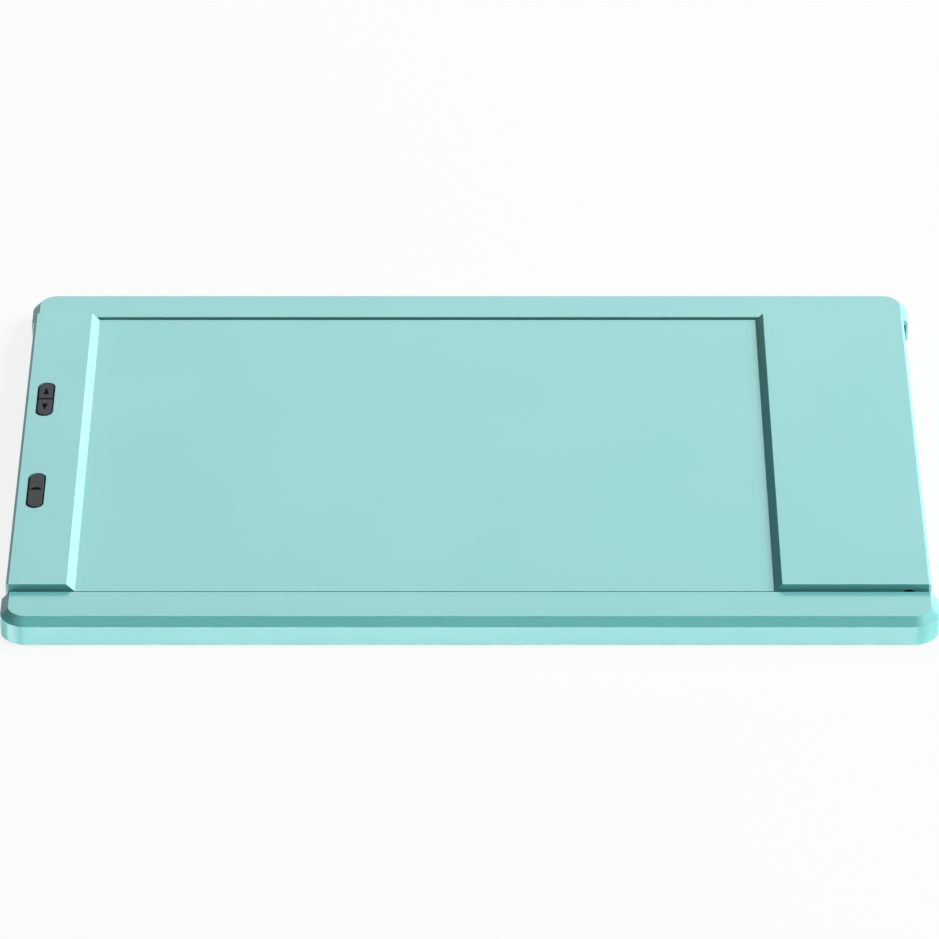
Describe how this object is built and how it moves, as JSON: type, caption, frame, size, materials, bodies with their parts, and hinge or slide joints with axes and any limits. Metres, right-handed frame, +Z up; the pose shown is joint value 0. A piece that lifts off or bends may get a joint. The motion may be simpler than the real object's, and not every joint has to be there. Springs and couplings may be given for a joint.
{
  "type": "laptop screen extender",
  "caption": "Slide-out extra screen in a flat railed frame for a laptop lid; the monitor draws out sideways and folds over on friction hinges, with push keys at one end.",
  "frame": {"origin": "middle of the frame's underside", "axes": "+X along the rails away from the side the monitor slides out of, +Y from the near rail to the far rail, +Z up out of the monitor's back"},
  "size_m": [0.3308, 0.235, 0.0128],
  "materials": {
    "teal_shell": "matte moulded teal plastic, fine sparked texture",
    "teal_sheet": "teal powder-coated sheet",
    "bezel": "matte black moulded plastic",
    "display_glass": "dark display glass, anti-glare",
    "light_guide": "white moulded tray and light guide",
    "key": "dark grey moulded keys",
    "track": "anodised extrusion",
    "liner": "white acetal",
    "slider": "machined steel block",
    "pin": "ground steel",
    "screw": "zinc plated",
    "hinge_steel": "black oxide",
    "latch_steel": "bare steel disc",
    "magnet": "nickel plated",
    "bumper": "black rubber",
    "board": "green solder mask on glass epoxy",
    "chip": "black moulded component cases",
    "switch": "small stamped switch case",
    "port": "drawn steel shell",
    "flat_cable": "flexible polyimide circuit"
  },
  "bodies": {
    "frame": {"base_plate": "teal_sheet", "near_rail_cover": "teal_shell", "far_rail_cover": "teal_shell", "near_base_screws": "screw", "far_base_screws": "screw", "near_track": "track", "far_track": "track", "near_slide_liner": "liner", "far_slide_liner": "liner", "end_bumpers": "bumper", "rail_magnets": "magnet", "latch_plates": "latch_steel"},
    "carriage": {"near_slider": "slider", "far_slider": "slider", "near_hinge_pin": "pin", "far_hinge_pin": "pin", "pin_grub_screws": "screw"},
    "monitor": {"back_shell": "teal_shell", "front_bezel": "bezel", "display_glass": "display_glass", "backlight_module": "light_guide", "near_friction_hinge": "hinge_steel", "far_friction_hinge": "hinge_steel", "hinge_screws": "screw", "button_board_screws": "screw", "driver_board_screws": "screw", "latch_magnets": "magnet", "button_board": "board", "tact_switches": "switch", "driver_board": "board", "driver_chips": "chip", "usb_c_ports": "port", "ribbon_cable": "flat_cable", "panel_cable": "flat_cable"},
    "brightness_up": {"brightness_up_key": "key"},
    "brightness_down": {"brightness_down_key": "key"},
    "power": {"power_key": "key"}
  },
  "joints": [
    {"name": "monitor_slide", "type": "slide", "parent": "frame", "child": "carriage", "axis": [-1, 0, 0], "range_m": [0, 0.3104]},
    {"name": "monitor_turn", "type": "hinge", "parent": "carriage", "child": "monitor", "pos_m": [0.1552, 0, 0.007], "axis": [0, 1, 0], "range_deg": [0, 180]},
    {"name": "brightness_up_press", "type": "slide", "parent": "monitor", "child": "brightness_up", "axis": [0, 0, -1], "range_m": [0, 0.0005], "stiffness_N_per_m": 1000, "springref_m": -0.0008},
    {"name": "brightness_down_press", "type": "slide", "parent": "monitor", "child": "brightness_down", "axis": [0, 0, -1], "range_m": [0, 0.0005], "stiffness_N_per_m": 1000, "springref_m": -0.0008},
    {"name": "power_press", "type": "slide", "parent": "monitor", "child": "power", "axis": [0, 0, -1], "range_m": [0, 0.0005], "stiffness_N_per_m": 1000, "springref_m": -0.0008}
  ]
}
